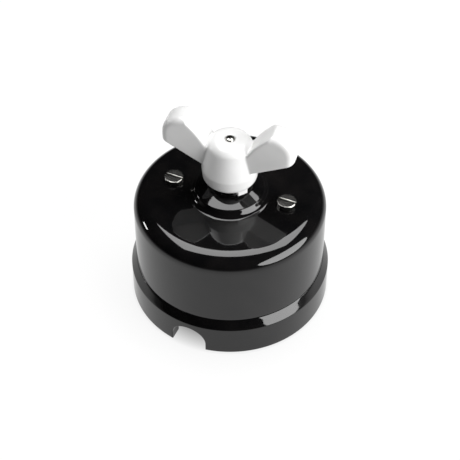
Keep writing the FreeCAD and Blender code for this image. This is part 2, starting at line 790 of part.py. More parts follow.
def make_bearing():
    turned_piece("bearing_bush", [
        ("spindle_radius + running_fit", "0"),
        ("bush_flange_radius", "0"),
        ("bush_flange_radius", "bush_flange"),
        ("bush_radius", "bush_flange"),
        ("bush_radius", "bush_flange + bush_height"),
        ("spindle_radius + running_fit", "bush_flange + bush_height"),
    ], "bush_bottom")
    turned_piece("thrust_washer", [
        ("spindle_radius + screw_clearance", "0"),
        ("washer_radius", "0"),
        ("washer_radius", "washer_thickness"),
        ("spindle_radius + screw_clearance", "washer_thickness"),
    ], "ring_bottom + ring_thickness")
    ring = turned_piece("retaining_ring", [
        ("ring_groove_radius + thread_clearance", "0"),
        ("ring_radius", "0"),
        ("ring_radius", "ring_thickness"),
        ("ring_groove_radius + thread_clearance", "ring_thickness"),
    ], "ring_bottom")
    mouth = new_sketch(ring, "ring_mouth", "XY_Plane")
    add_outline(mouth, box_corners("0", "ring_radius + cut_margin",
                                   "-ring_mouth / 2", "ring_mouth / 2"))
    pocket(ring, mouth, reverse=True)


# Turning parts

def make_spindle():
    shoulder = "bar_top - pivot_bottom"
    spindle = turned_piece("spindle", [
        ("0", "0"),
        ("pivot_radius", "0"),
        ("pivot_radius", shoulder),
        ("spindle_radius", shoulder),
        ("spindle_radius", "ring_bottom - pivot_bottom"),
        ("ring_groove_radius", "ring_bottom - pivot_bottom"),
        ("ring_groove_radius", "ring_bottom + ring_thickness - pivot_bottom"),
        ("spindle_radius", "ring_bottom + ring_thickness - pivot_bottom"),
        ("spindle_radius", "spindle_top - pivot_bottom"),
        ("0", "spindle_top - pivot_bottom"),
    ], "pivot_bottom")
    reach = "spindle_radius + cut_margin"
    stretches = (("low", shoulder, "ring_bottom - pivot_bottom"),
                 ("high", "knob_bottom - pivot_bottom", "spindle_top - pivot_bottom"))
    for name, low, high in stretches:
        for side in (1, -1):
            flat = new_sketch(spindle, f"{name}_flat_{'rear' if side > 0 else 'front'}", "YZ_Plane")
            add_outline(flat, box_corners(f"{side} * drive_flats / 2", f"{side} * ({reach})",
                                          low, high))
            pocket(spindle, flat, f"2 * ({reach})", both_ways=True)
    round_holes(spindle, "knob_thread", [("0", "0")], "knob_screw_radius",
                "spindle_top - knob_bottom - knob_thread_stop", "spindle_top - pivot_bottom")


def flatted_hole(body, name):
    hole = new_sketch(body, name, "XY_Plane")
    flatted_outline(hole, "spindle_radius + keyed_fit", "drive_flats + 2 * keyed_fit")
    return pocket(body, hole, reverse=True)


def make_index_plate():
    plate = new_body("index_plate", "index_bottom")
    half = "index_flats / 2"
    square = new_sketch(plate, "index_square", "XY_Plane")
    add_outline(square, box_corners(f"-{half}", half, f"-{half}", half, "index_corner"))
    pad(plate, square, "index_thickness")
    flatted_hole(plate, "index_hole")


def make_rotor():
    rotor = turned_piece("rotor", [
        ("0", "0"),
        ("rotor_radius", "0"),
        ("rotor_radius", "rotor_height", "rotor_edge"),
        ("0", "rotor_height"),
    ], "bar_top")
    flatted_hole(rotor, "rotor_hole")
    place = "contact_rivet_place"
    round_holes(rotor, "rotor_rivet_holes", [(place, place), (f"-{place}", f"-{place}")],
                "contact_rivet_radius", reverse=True)


def make_contact_bar():
    bar = new_body("contact_bar", "contact_top")
    reach = "contact_circle + contact_radius"
    outline = new_sketch(bar, "bar_outline", "XY_Plane", turn="contact_turn")
    add_outline(outline, box_corners(f"-({reach})", reach, "-bar_width / 2", "bar_width / 2",
                                     "bar_end_round"))
    pad(bar, outline, "bar_thickness")
    holes = new_sketch(bar, "bar_holes", "XY_Plane", turn="contact_turn")
    add_circle(holes, "0", "0", "pivot_radius + pivot_clearance")
    for side in (1, -1):
        add_circle(holes, f"{side} * contact_rivet_circle", "0", "contact_rivet_radius")
    pocket(bar, holes, reverse=True)


def make_contact_rivets():
    rivets = new_body("contact_rivets", "contact_top")
    shank = new_sketch(rivets, "contact_rivet_shank", "XY_Plane", turn="contact_turn")
    add_circle(shank, "contact_rivet_circle", "0", "contact_rivet_radius")
    shanks = pad(rivets, shank, "bar_thickness + rotor_height")
    head = new_sketch(rivets, "contact_rivet_top", "XY_Plane", "rotor_top - contact_top",
                      "contact_turn")
    add_circle(head, "contact_rivet_circle", "0", "contact_rivet_head_radius")
    heads = pad(rivets, head, "contact_rivet_head")
    repeat_round(rivets, [shanks, heads], 2)


def make_contact_spring():
    """A coil of round wire between the rotor and the index plate.

    Each half turn is half a ring that leans, so that its ends meet the next ones smoothly.
    """
    wire = sizes.get("coil_wire_radius")
    radius = sizes.get("coil_radius")
    low = sizes.get("rotor_top") + wire
    count = int(sizes.get("coil_half_turns"))
    rise = (sizes.get("index_bottom") - wire - low) / count
    coil = doc.addObject("Part::Feature", "contact_spring")
    coil.Label = "contact_spring"
    halves = []
    for number in range(count):
        side = 1 if number % 2 == 0 else -1
        across = Vector(-2 * side * radius, 0, rise)
        centre = Vector(0, 0, low + (number + 0.5) * rise)
        axis = across.cross(Vector(0, side, 0)).normalize() * -1
        section = Part.Face(Part.Wire(Part.makeCircle(wire, centre - across / 2, Vector(0, 1, 0))))
        halves.append(section.revolve(centre, axis, 180))
    coil.Shape = halves[0].fuse(halves[1:])
    parts.append(coil)


# Index springs

def make_index_spring(label, turn):
    spring = new_body(label, "leaf_bottom")
    spring.Placement.Rotation = Rotation(Z_AXIS, turn)
    near, far = "index_flats / 2", "bridge_inside - leaf_thickness"
    knee, tab, end = "leaf_half_flat", "(leaf_half_length - leaf_tab)", "leaf_half_length"
    slope = f"atan(({far} - {near}) / ({tab} - {knee}))"
    shift = f"leaf_thickness * tan({slope} / 2)"
    wide_bend = "leaf_bend + leaf_thickness"
    inner = [(end, far), (tab, far, "leaf_bend"), (knee, near, wide_bend)]
    outer = [(f"{knee} - {shift}", f"{near} + leaf_thickness", "leaf_bend"),
             (f"{tab} - {shift}", "bridge_inside", wide_bend), (end, "bridge_inside")]
    inner_left = [(f"-({corner[0]})", *corner[1:]) for corner in reversed(inner)]
    outer_left = [(f"-({corner[0]})", *corner[1:]) for corner in reversed(outer)]
    strip = new_sketch(spring, label + "_strip", "XY_Plane")
    add_outline(strip, inner + inner_left + outer_left + outer)
    pad(spring, strip, "leaf_height")
    hole = new_sketch(spring, label + "_hole", "XZ_Plane")
    add_circle(hole, "-leaf_rivet_side", "leaf_height / 2", "leaf_rivet_radius")
    pocket(spring, hole)


def make_index_rivets():
    rivets = new_body("index_rivets", "leaf_bottom")
    place = ("-leaf_rivet_side", "leaf_height / 2")
    inner = "bridge_inside - leaf_thickness"
    grip = "leaf_thickness + sheet_thickness"
    made = []
    for name, start, length, radius in (
        ("rivet_inner_head", f"{inner} - leaf_rivet_head", "leaf_rivet_head",
         "leaf_rivet_head_radius"),
        ("rivet_shank", inner, grip, "leaf_rivet_radius"),
        ("rivet_outer_head", f"{inner} + {grip}", "leaf_rivet_head", "leaf_rivet_head_radius"),
    ):
        sketch = new_sketch(rivets, name, "XZ_Plane", f"-({start})")
        add_circle(sketch, *place, radius)
        made.append(pad(rivets, sketch, length, reverse=True))
    repeat_round(rivets, made, 2)


# Terminals

def make_fixed_contact(number):
    contact = new_body(f"fixed_contact_{number}", "land_height")
    contact.Placement.Rotation = Rotation(Z_AXIS, 90 * (number - 1))
    under_block = new_sketch(contact, "strip_pad", "XY_Plane")
    add_outline(under_block, box_corners(
        "terminal_left", "terminal_right", "terminal_inner", "terminal_outer",
        "terminal_edge"))
    pad(contact, under_block, "strip_thickness")
    tip = "(contact_circle * cos(contact_turn * 1 deg))"
    run = f"sqrt((terminal_side - {tip})^2 + (fixing_place - {tip})^2)"
    arm = new_sketch(contact, "strip_arm", "XY_Plane",
                     turn=f"atan((fixing_place - {tip}) / (terminal_side - {tip}))")
    bind(arm, ".AttachmentOffset.Base.x", tip)
    bind(arm, ".AttachmentOffset.Base.y", tip)
    add_outline(arm, box_corners("-strip_width / 2", run, "-strip_width / 2", "strip_width / 2",
                                 "terminal_edge"))
    pad(contact, arm, "strip_thickness")
    button = new_sketch(contact, "contact_button", "XY_Plane")
    add_circle(button, tip, tip, "contact_radius")
    pad(contact, button, "strip_thickness + contact_height")
    round_holes(contact, "strip_hole", [("terminal_side", "fixing_place")],
                "machine_screw_radius + screw_clearance", reverse=True)


def make_terminal_block(number):
    block = new_body(f"terminal_block_{number}", "strip_top")
    block.Placement.Rotation = Rotation(Z_AXIS, 90 * (number - 1))
    outline = new_sketch(block, "block_outline", "XY_Plane")
    add_outline(outline, box_corners(
        "terminal_left", "terminal_right", "terminal_inner", "terminal_outer",
        "terminal_edge"))
    pad(block, outline, "terminal_height")
    wire_hole = new_sketch(block, "wire_hole", "XZ_Plane", "-terminal_outer")
    add_circle(wire_hole, "terminal_side", "wire_hole_height", "wire_hole_radius")
    pocket(block, wire_hole, "wire_hole_depth", reverse=True)
    thread = "machine_screw_radius + thread_clearance"
    round_holes(block, "clamp_thread", [("terminal_side", "clamp_place")], thread,
                "terminal_height - wire_hole_height", "terminal_height")
    round_holes(block, "fixing_thread", [("terminal_side", "fixing_place")], thread,
                "terminal_fixing_grip + thread_runout", reverse=True)


def main():
    make_base()
    make_cover()
    make_knob()
    make_knob_screw()
    make_screws()
    make_nuts()
    make_pillars()
    make_bridge()
    make_bearing()
    make_spindle()
    make_index_plate()
    make_rotor()
    make_contact_bar()
    make_contact_rivets()
    make_contact_spring()
    make_index_spring("index_spring_front", 180)
    make_index_spring("index_spring_rear", 0)
    make_index_rivets()
    for number in range(1, 5):
        make_fixed_contact(number)
        make_terminal_block(number)
    doc.recompute()

    for item in doc.Objects:
        if "Invalid" in item.State or "Error" in item.State:
            raise RuntimeError(f"{item.Name} failed: {item.State}")
    os.makedirs("parts", exist_ok=True)
    for part in parts:
        if part.Shape.isNull() or not part.Shape.isValid():
            raise RuntimeError(f"{part.Label} has no valid shape")
        part.Shape.exportStep(f"parts/{part.Label}.step")
        print(part.Label, len(part.Shape.Solids), round(part.Shape.Volume, 1))


main()
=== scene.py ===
"""Looks of a surface-mounted porcelain rotary switch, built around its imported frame.

Sizes are millimetres in the classes below and become metres when a mesh is made. +Z is up, the
spindle's axis is the Z axis, and the cover screws lie on the X axis.
"""

import enum
import json
import logging
import math
from dataclasses import dataclass

import bmesh
import bpy
import numpy as np
from mathutils import Matrix, Vector


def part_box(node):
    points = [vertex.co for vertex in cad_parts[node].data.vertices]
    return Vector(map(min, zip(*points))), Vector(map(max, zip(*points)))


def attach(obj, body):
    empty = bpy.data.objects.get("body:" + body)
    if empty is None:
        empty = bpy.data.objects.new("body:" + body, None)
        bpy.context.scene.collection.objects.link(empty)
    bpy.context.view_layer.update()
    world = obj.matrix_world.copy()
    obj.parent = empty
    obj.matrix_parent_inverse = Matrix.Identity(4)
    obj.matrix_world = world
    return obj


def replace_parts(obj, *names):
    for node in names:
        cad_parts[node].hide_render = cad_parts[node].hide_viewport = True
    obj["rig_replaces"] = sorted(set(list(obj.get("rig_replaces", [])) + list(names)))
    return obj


MM = 0.001
# Points nearer to each other than this, in metres, are one point.
MERGE = 1e-6
# Millimetres by which a cutter stands out of what it cuts.
CLEAR = 1.0
HOUSING = "housing"
TURNING = "turning"

Part = tuple[np.ndarray, list]
Socket = bpy.types.NodeSocket
Colour = tuple[float, float, float]

log = logging.getLogger("rotary_switch")
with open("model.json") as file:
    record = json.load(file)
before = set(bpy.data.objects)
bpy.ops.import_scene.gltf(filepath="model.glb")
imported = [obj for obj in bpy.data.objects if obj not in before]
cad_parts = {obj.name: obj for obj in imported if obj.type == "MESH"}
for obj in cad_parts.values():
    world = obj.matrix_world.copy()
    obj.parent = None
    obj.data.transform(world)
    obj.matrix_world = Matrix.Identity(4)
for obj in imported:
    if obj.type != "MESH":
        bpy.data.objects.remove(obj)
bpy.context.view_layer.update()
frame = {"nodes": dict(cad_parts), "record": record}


class Finish(enum.Enum):
    """The material slots of the record."""

    GLAZE = "black_porcelain"
    KNOB = "white_plastic"
    NICKEL = "nickel_screw"
    ZINC = "zinc_steel"
    SPRING = "spring_steel"
    BRASS = "brass"
    RESIN = "brown_resin"


# Points and meshes

def node_size(name: str) -> tuple[np.ndarray, np.ndarray]:
    """Lowest and highest corner of a CAD node, in millimetres.

    Args:
        name: The node's name in the frame.

    Returns:
        Two arrays of three numbers.
    """
    low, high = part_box(name)
    return np.array(low) / MM, np.array(high) / MM


def polyline(points: list[tuple[float, float]], step: float) -> np.ndarray:
    """Even points along straight runs, the last point left out of each run but the final one.

    Args:
        points: The ends of the runs.
        step: The largest distance between two points.

    Returns:
        An array of points, shape (n, 2).
    """
    runs = []
    for start, end in zip(points[:-1], points[1:]):
        start, end = np.array(start), np.array(end)
        count = max(1, math.ceil(np.linalg.norm(end - start) / step))
        share = np.arange(count) / count
        runs.append(start + share[:, None] * (end - start))
    runs.append(np.array(points[-1:]))
    return np.concatenate(runs)


def rounded_line(corners: list[tuple[float, ...]], step: float, arc_steps: int = 10,
                 closed: bool = False) -> np.ndarray:
    """A line through corners (x, y[, radius]), each radius a tangent arc at its corner.

    An arc's centre lies on the corner's bisector at radius / sin(half angle), and its points are
    the centre plus the radius times the unit vectors between its two tangent points.

    Args:
        corners: The corners, with a rounding radius where they have one.
        step: The largest distance between two points on a straight run.
        arc_steps: Pieces of each arc.
        closed: Whether the last corner joins the first one.

    Returns:
        An array of points, shape (n, 2).
    """
    count = len(corners)
    places = [np.array(corner[:2], float) for corner in corners]
    bends = []
    for here, corner in enumerate(corners):
        if len(corner) < 3 or (not closed and here in (0, count - 1)):
            bends.append(places[here][None])
            continue
        to_last = places[here - 1] - places[here]
        to_next = places[(here + 1) % count] - places[here]
        to_last /= np.linalg.norm(to_last)
        to_next /= np.linalg.norm(to_next)
        half = math.acos(np.clip(to_last @ to_next, -1, 1)) / 2
        bisector = to_last + to_next
        bisector /= np.linalg.norm(bisector)
        centre = places[here] + bisector * corner[2] / math.sin(half)
        first = places[here] + to_last * corner[2] / math.tan(half) - centre
        last = places[here] + to_next * corner[2] / math.tan(half) - centre
        sweep = math.atan2(first[0] * last[1] - first[1] * last[0], first @ last)
        turn = np.linspace(0, sweep, arc_steps + 1)
        across = np.array([-first[1], first[0]])
        bends.append(centre + np.cos(turn)[:, None] * first + np.sin(turn)[:, None] * across)
    pieces = []
    for here in range(count if closed else count - 1):
        pieces.append(bends[here][:-1])
        run = [tuple(bends[here][-1]), tuple(bends[(here + 1) % count][0])]
        pieces.append(polyline(run, step)[:-1])
    if not closed:
        pieces.append(bends[-1])
    return np.concatenate(pieces)


def grid_faces(rows: int, columns: int, close_rows: bool, close_columns: bool) -> np.ndarray:
    """Quads over a grid of points numbered row by row.

    Args:
        rows: Rows of the grid.
        columns: Columns of the grid.
        close_rows: Whether the last row joins the first one.
        close_columns: Whether the last column joins the first one.

    Returns:
        An array of vertex numbers, shape (n, 4).
    """
    row = np.arange(rows if close_rows else rows - 1)[:, None]
    column = np.arange(columns if close_columns else columns - 1)[None]
    below, right = (row + 1) % rows, (column + 1) % columns
    corners = [row * columns + column, row * columns + right,
               below * columns + right, below * columns + column]
    return np.stack(np.broadcast_arrays(*corners), -1).reshape(-1, 4)


def build(name: str, parts: list[Part]) -> bpy.types.Object:
    """A mesh object from point arrays in millimetres, each with its own faces.

    Args:
        name: The object's name.
        parts: Pairs of points, shape (n, 3), and faces that number them.

    Returns:
        The new object, smooth shaded, with doubles merged.
    """
    points, faces, start = [], [], 0
    for array, polygons in parts:
        points.append(array.reshape(-1, 3))
        faces += [[int(v) + start for v in face] for face in polygons]
        start += len(points[-1])
    mesh = bpy.data.meshes.new(name)
    mesh.from_pydata((np.concatenate(points) * MM).tolist(), [], faces)
    mesh.update()
    thing = bpy.data.objects.new(name, mesh)
    bpy.context.scene.collection.objects.link(thing)
    tidy(thing)
    return thing


def tidy(thing: bpy.types.Object) -> None:
    """Merge doubles, drop faces with no area and turn all faces outwards.

    Args:
        thing: The object whose mesh is tidied.
    """
    work = bmesh.new()
    work.from_mesh(thing.data)
    bmesh.ops.remove_doubles(work, verts=work.verts, dist=MERGE)
    bmesh.ops.dissolve_degenerate(work, edges=work.edges, dist=MERGE)
    bmesh.ops.recalc_face_normals(work, faces=work.faces)
    work.to_mesh(thing.data)
    work.free()
    thing.data.polygons.foreach_set("use_smooth", np.ones(len(thing.data.polygons), bool))
    thing.data.update()


def lathe(profile: np.ndarray, around: int, closed: bool) -> Part:
    """A profile (radius, height) turned about the Z axis.

    A point is (r cos a, r sin a, z) for each profile point and each of the even angles a. A
    profile that isn't closed starts and ends on the axis, where its rings shrink to a point.

    Args:
        profile: The profile's points, shape (n, 2).
        around: Points on each ring.
        closed: Whether the profile is a loop.

    Returns:
        A part for build.
    """
    angle = np.arange(around) * 2 * math.pi / around
    radius, height = profile[:, 0][:, None], profile[:, 1][:, None]
    grid = np.stack(np.broadcast_arrays(radius * np.cos(angle), radius * np.sin(angle), height), -1)
    return grid, grid_faces(len(profile), around, closed, True).tolist()


def apply_boolean(thing: bpy.types.Object, other: bpy.types.Object, operation: str) -> None:
    """Join or cut one mesh with another and delete the other.

    Args:
        thing: The object that is changed.
        other: The object that it is joined or cut with.
        operation: "UNION" or "DIFFERENCE".
    """
    step = thing.modifiers.new("boolean", "BOOLEAN")
    step.object = other
    step.operation = operation
    step.solver = "EXACT"
    freeze(thing)
    bpy.data.objects.remove(other)


def freeze(thing: bpy.types.Object) -> None:
    """Replace an object's mesh by what its modifiers make of it.

    Args:
        thing: The object.
    """
    graph = bpy.context.evaluated_depsgraph_get()
    done = bpy.data.meshes.new_from_object(thing.evaluated_get(graph))
    thing.modifiers.clear()
    thing.data = done


def smooth_by_angle(thing: bpy.types.Object, degrees: float) -> None:
    """Smooth shading with edges sharper than an angle left sharp.

    Args:
        thing: The object.
        degrees: The angle between two faces from which their edge is sharp.
    """
    mesh = thing.data
    mesh.polygons.foreach_set("use_smooth", np.ones(len(mesh.polygons), bool))
    mesh.set_sharp_from_angle(angle=math.radians(degrees))


# Materials

class Shader:
    """A small helper round one material's nodes."""

    def __init__(self, name: str) -> None:
        """Make a material with a Principled shader and object coordinates."""
        self.material = bpy.data.materials.new(name)
        self.material.use_nodes = True
        self.tree = self.material.node_tree
        self.surface = self.tree.nodes["Principled BSDF"]
        self.coordinates = self.tree.nodes.new("ShaderNodeTexCoord").outputs["Object"]

    def plain(self, **values: float | tuple) -> None:
        """Set constant sockets of the shader.

        Args:
            **values: The sockets' values, with the spaces in their names as underscores.
        """
        for name, value in values.items():
            self.surface.inputs[name.replace("_", " ")].default_value = value

    def noise(self, scale: float, detail: float = 2.0) -> Socket:
        """Noise in object space.

        Args:
            scale: Features per metre.
            detail: Octaves of finer noise.

        Returns:
            The noise's output socket.
        """
        texture = self.tree.nodes.new("ShaderNodeTexNoise")
        texture.inputs["Scale"].default_value = scale
        texture.inputs["Detail"].default_value = detail
        self.tree.links.new(self.coordinates, texture.inputs["Vector"])
        return texture.outputs["Fac"]

    def spread(self, source: Socket, low: float, high: float, start: float = 0.0,
               end: float = 1.0) -> Socket:
        """A value mapped from one range to another.

        Args:
            source: The socket that is mapped.
            low: Result where the source is at start.
            high: Result where the source is at end.
            start: Lowest value of the source.
            end: Highest value of the source.

        Returns:
            The mapped output socket.
        """
        ramp = self.tree.nodes.new("ShaderNodeMapRange")
        ramp.inputs["From Min"].default_value = start
        ramp.inputs["From Max"].default_value = end
        ramp.inputs["To Min"].default_value = low
        ramp.inputs["To Max"].default_value = high
        self.tree.links.new(source, ramp.inputs["Value"])
        return ramp.outputs["Result"]

    def mix(self, factor: Socket, first: Colour, second: Colour) -> Socket:
        """A colour between two colours.

        Args:
            factor: The socket that picks the second colour where it is 1.
            first: Colour where the factor is 0.
            second: Colour where the factor is 1.

        Returns:
            The colour's output socket.
        """
        blend = self.tree.nodes.new("ShaderNodeMix")
        blend.data_type = "RGBA"
        blend.inputs["A"].default_value = (*first, 1)
        blend.inputs["B"].default_value = (*second, 1)
        self.tree.links.new(factor, blend.inputs["Factor"])
        return blend.outputs["Result"]

    def join(self, operation: str, first: Socket, second: Socket) -> Socket:
        """A value worked out from two sockets.

        Args:
            operation: The Math node's operation.
            first: The first socket.
            second: The second socket.

        Returns:
            The result's output socket.
        """
        node = self.tree.nodes.new("ShaderNodeMath")
        node.operation = operation
        self.tree.links.new(first, node.inputs[0])
        self.tree.links.new(second, node.inputs[1])
        return node.outputs["Value"]

    def times(self, first: Socket, second: Socket) -> Socket:
        """The product of two sockets."""
        return self.join("MULTIPLY", first, second)

    def greater(self, first: Socket, second: Socket) -> Socket:
        """The greater of two sockets."""
        return self.join("MAXIMUM", first, second)

    def bump(self, height: Socket, distance: float) -> None:
        """Link a relief to the shader.

        Args:
            height: The socket that gives the relief, from 0 to 1.
            distance: Height of the relief in metres.
        """
        bump = self.tree.nodes.new("ShaderNodeBump")
        bump.inputs["Distance"].default_value = distance
        self.tree.links.new(height, bump.inputs["Height"])
        self.tree.links.new(bump.outputs["Normal"], self.surface.inputs["Normal"])

    def feed(self, name: str, source: Socket) -> None:
        """Link a socket to the shader.

        Args:
            name: The shader's input.
            source: The socket that feeds it.
        """
        self.tree.links.new(source, self.surface.inputs[name])


@dataclass(frozen=True)
class Glaze:
    """Black glazed porcelain: a near-black body under a clear, slightly wavy gloss.

    Scales are features per metre, and a band is the part of the noise that is spread out.
    """

    colour: Colour = (0.003, 0.003, 0.0033)
    thin_colour: Colour = (0.006, 0.0055, 0.0055)
    cloud_scale: float = 140.0
    cloud_band: tuple[float, float] = (0.35, 0.75)
    smooth: float = 0.035
    rough: float = 0.075
    haze_scale: float = 320.0
    haze_band: tuple[float, float] = (0.35, 0.8)
    ior: float = 1.5
    wave_scale: float = 90.0
    wave_depth: float = 0.000012

    def make(self) -> bpy.types.Material:
        """Build the material."""
        shader = Shader("black_glaze")
        cloud = shader.spread(shader.noise(self.cloud_scale, 3.0), 0, 1, *self.cloud_band)
        shader.feed("Base Color", shader.mix(cloud, self.colour, self.thin_colour))
        haze = shader.noise(self.haze_scale, 4.0)
        shader.feed("Roughness", shader.spread(haze, self.smooth, self.rough, *self.haze_band))
        shader.plain(IOR=self.ior)
        shader.bump(shader.noise(self.wave_scale, 1.0), self.wave_depth)
        return shader.material


@dataclass(frozen=True)
class WhiteMoulding:
    """Glossy white moulding with a faint unevenness."""

    colour: Colour = (0.83, 0.83, 0.825)
    shade: Colour = (0.80, 0.80, 0.795)
    shade_scale: float = 160.0
    band: tuple[float, float] = (0.3, 0.7)
    smooth: float = 0.16
    rough: float = 0.24
    haze_scale: float = 500.0
    ior: float = 1.48
    sink_scale: float = 220.0
    sink_depth: float = 0.00001

    def make(self) -> bpy.types.Material:
        """Build the material."""
        shader = Shader("white_moulding")
        shade = shader.spread(shader.noise(self.shade_scale), 0, 1, *self.band)
        shader.feed("Base Color", shader.mix(shade, self.colour, self.shade))
        haze = shader.noise(self.haze_scale, 4.0)
        shader.feed("Roughness", shader.spread(haze, self.smooth, self.rough, *self.band))
        shader.plain(IOR=self.ior)
        shader.bump(shader.noise(self.sink_scale, 1.0), self.sink_depth)
        return shader.material


@dataclass(frozen=True)
class Metal:
    """A metal with fine turned or rolled marks."""

    name: str
    colour: Colour
    dull: Colour
    smooth: float
    rough: float
    stain_scale: float = 300.0
    stain_band: tuple[float, float] = (0.35, 0.7)
    wear_scale: float = 900.0
    wear_band: tuple[float, float] = (0.3, 0.75)
    mark_scale: float = 2500.0
    mark_depth: float = 0.000004

    def make(self) -> bpy.types.Material:
        """Build the material."""
        shader = Shader(self.name)
        stain = shader.spread(shader.noise(self.stain_scale, 3.0), 0, 1, *self.stain_band)
        shader.feed("Base Color", shader.mix(stain, self.colour, self.dull))
        wear = shader.noise(self.wear_scale, 4.0)
        shader.feed("Roughness", shader.spread(wear, self.smooth, self.rough, *self.wear_band))
        shader.plain(Metallic=1.0)
        shader.bump(shader.noise(self.mark_scale), self.mark_depth)
        return shader.material


@dataclass(frozen=True)
class Resin:
    """Brown moulded phenolic resin with a mottled body."""

    colour: Colour = (0.07, 0.028, 0.016)
    fleck: Colour = (0.13, 0.06, 0.035)
    fleck_scale: float = 700.0
    fleck_band: tuple[float, float] = (0.35, 0.7)
    smooth: float = 0.32
    rough: float = 0.5
    haze_scale: float = 800.0
    grain_scale: float = 1500.0
    grain_depth: float = 0.00001

    def make(self) -> bpy.types.Material:
        """Build the material."""
        shader = Shader("phenolic_resin")
        fleck = shader.spread(shader.noise(self.fleck_scale, 4.0), 0, 1, *self.fleck_band)
        shader.feed("Base Color", shader.mix(fleck, self.colour, self.fleck))
        shader.feed("Roughness", shader.spread(shader.noise(self.haze_scale), self.smooth, self.rough))
        shader.bump(shader.noise(self.grain_scale, 3.0), self.grain_depth)
        return shader.material


NICKEL = Metal("nickel", (0.62, 0.61, 0.585), (0.52, 0.51, 0.49), smooth=0.15, rough=0.19)
ZINC = Metal("zinc_steel", (0.52, 0.53, 0.54), (0.40, 0.40, 0.41), smooth=0.25, rough=0.45)
SPRING = Metal("spring_steel", (0.22, 0.22, 0.25), (0.15, 0.15, 0.17), smooth=0.2, rough=0.4)
BRASS = Metal("brass", (0.70, 0.50, 0.21), (0.52, 0.36, 0.16), smooth=0.2, rough=0.42)


class Paints:
    """Every finish of the switch, made once."""

    def __init__(self) -> None:
        """Make all materials."""
        self.made = {
            Finish.GLAZE: Glaze().make(),
            Finish.KNOB: WhiteMoulding().make(),
            Finish.NICKEL: NICKEL.make(),
            Finish.ZINC: ZINC.make(),
            Finish.SPRING: SPRING.make(),
            Finish.BRASS: BRASS.make(),
            Finish.RESIN: Resin().make(),
        }

    def dress(self, thing: bpy.types.Object, finish: Finish) -> None:
        """Give a new piece one finish.

        Args:
            thing: The piece.
            finish: Its finish.
        """
        thing.data.materials.clear()
        thing.data.materials.append(self.made[finish])

    def dress_nodes(self, replaced: set[str]) -> None:
        """Give every CAD node that stays visible the finish of its record slot.

        Args:
            replaced: Nodes that a new piece stands for.
        """
        for row in frame["record"]["subparts"]:
            node = row["node"]
            if node in replaced:
                continue
            thing = frame["nodes"][node]
            thing.data.materials.clear()
            thing.data.materials.append(self.made[Finish(row["material_slot"])])


# Solids that the pieces are put together from

def moved(part: Part, place: tuple[float, float, float]) -> Part:
    """A part shifted by a place.

    Args:
        part: The part.
        place: How far its points go along X, Y and Z.

    Returns:
        The shifted part.
    """
    return part[0] + np.array(place), part[1]


def turned(part: Part, degrees: float) -> Part:
    """A part turned anticlockwise about the Z axis.

    Args:
        part: The part.
        degrees: The angle.

    Returns:
        The turned part.
    """
    turn = math.radians(degrees)
    matrix = np.array([[math.cos(turn), math.sin(turn), 0],
                       [-math.sin(turn), math.cos(turn), 0],
                       [0, 0, 1]])
    return part[0] @ matrix, part[1]


def rod(steps: list[tuple[float, float]], low: float, around: int = 40) -> Part:
    """An upright round rod whose radius changes in steps.

    Args:
        steps: Pairs of radius and the height where that radius ends, from the bottom up.
        low: Height of the rod's foot.
        around: Points on each ring.

    Returns:
        A closed part on the Z axis.
    """
    corners = [(0.0, low)]
    for radius, top in steps:
        corners += [(radius, corners[-1][1]), (radius, top)]
    corners.append((0.0, steps[-1][1]))
    return lathe(np.array(corners), around, closed=False)


def prism(outline: np.ndarray, low: float, high: float) -> Part:
    """An outline in the XY plane drawn up from one height to another.

    Args:
        outline: Points of the closed outline, shape (n, 2).
        low: Height of the bottom.
        high: Height of the top.

    Returns:
        A closed part with flat ends.
    """
    count = len(outline)
    heights = np.array([low, high])[:, None, None]
    rings = np.concatenate([np.broadcast_to(outline, (2, count, 2)),
                            np.broadcast_to(heights, (2, count, 1))], -1)
    faces = grid_faces(2, count, False, True).tolist()
    return rings, [*faces, list(range(count)), list(range(count, 2 * count))]


def slot_cutter(length: float, width: float, floor: float, mouth: float,
                flare: tuple[float, float] = (0, 0)) -> Part:
    """A bar along X that cuts a screw's slot, with a mouth that opens out in a low slope.

    Its section in the YZ plane is carried along X.

    Args:
        length: Length of the bar.
        width: Width of the slot.
        floor: Height of the slot's floor.
        mouth: Height at which the slope ends.
        flare: How far the slope reaches out on each side, and how deep it starts.

    Returns:
        A closed part centred on the Z axis.
    """
    half, (reach, drop) = width / 2, flare
    right = [(half, floor), (half, mouth - drop), (half + reach, mouth),
             (half + reach, mouth + CLEAR)]
    section = np.array([(-y, z) for y, z in right] + right[::-1])
    points, faces = prism(section, -length / 2, length / 2)
    return points[..., [2, 0, 1]], faces


def hexagon(across_flats: float) -> np.ndarray:
    """Six corners with two flats facing along Y.

    Args:
        across_flats: Distance between two flats.

    Returns:
        The corners, shape (6, 2).
    """
    turn = np.arange(6) * math.pi / 3
    return across_flats / math.sqrt(3) * np.stack([np.cos(turn), np.sin(turn)], -1)


def moved_sides(corners: list[tuple[float, ...]], insets: np.ndarray) -> np.ndarray:
    """Corners of a polygon after each side has moved inwards by its own distance.

    A side's line is n . p = c with n its inward normal. Moved, it is n . p = c + inset, and each
    new corner is the point that lies on both of its moved lines.

    Args:
        corners: Corners in anticlockwise order.
        insets: One distance for each side, which starts at the corner of its number.

    Returns:
        The new corners, shape (n, 2).
    """
    places = np.array([corner[:2] for corner in corners])
    along = np.roll(places, -1, 0) - places
    normal = np.stack([-along[:, 1], along[:, 0]], 1) / np.linalg.norm(along, axis=1)[:, None]
    level = (normal * places).sum(1) + insets
    normals = np.stack([np.roll(normal, 1, 0), normal], 1)
    levels = np.stack([np.roll(level, 1), level], 1)
    return np.linalg.solve(normals, levels[..., None])[..., 0]


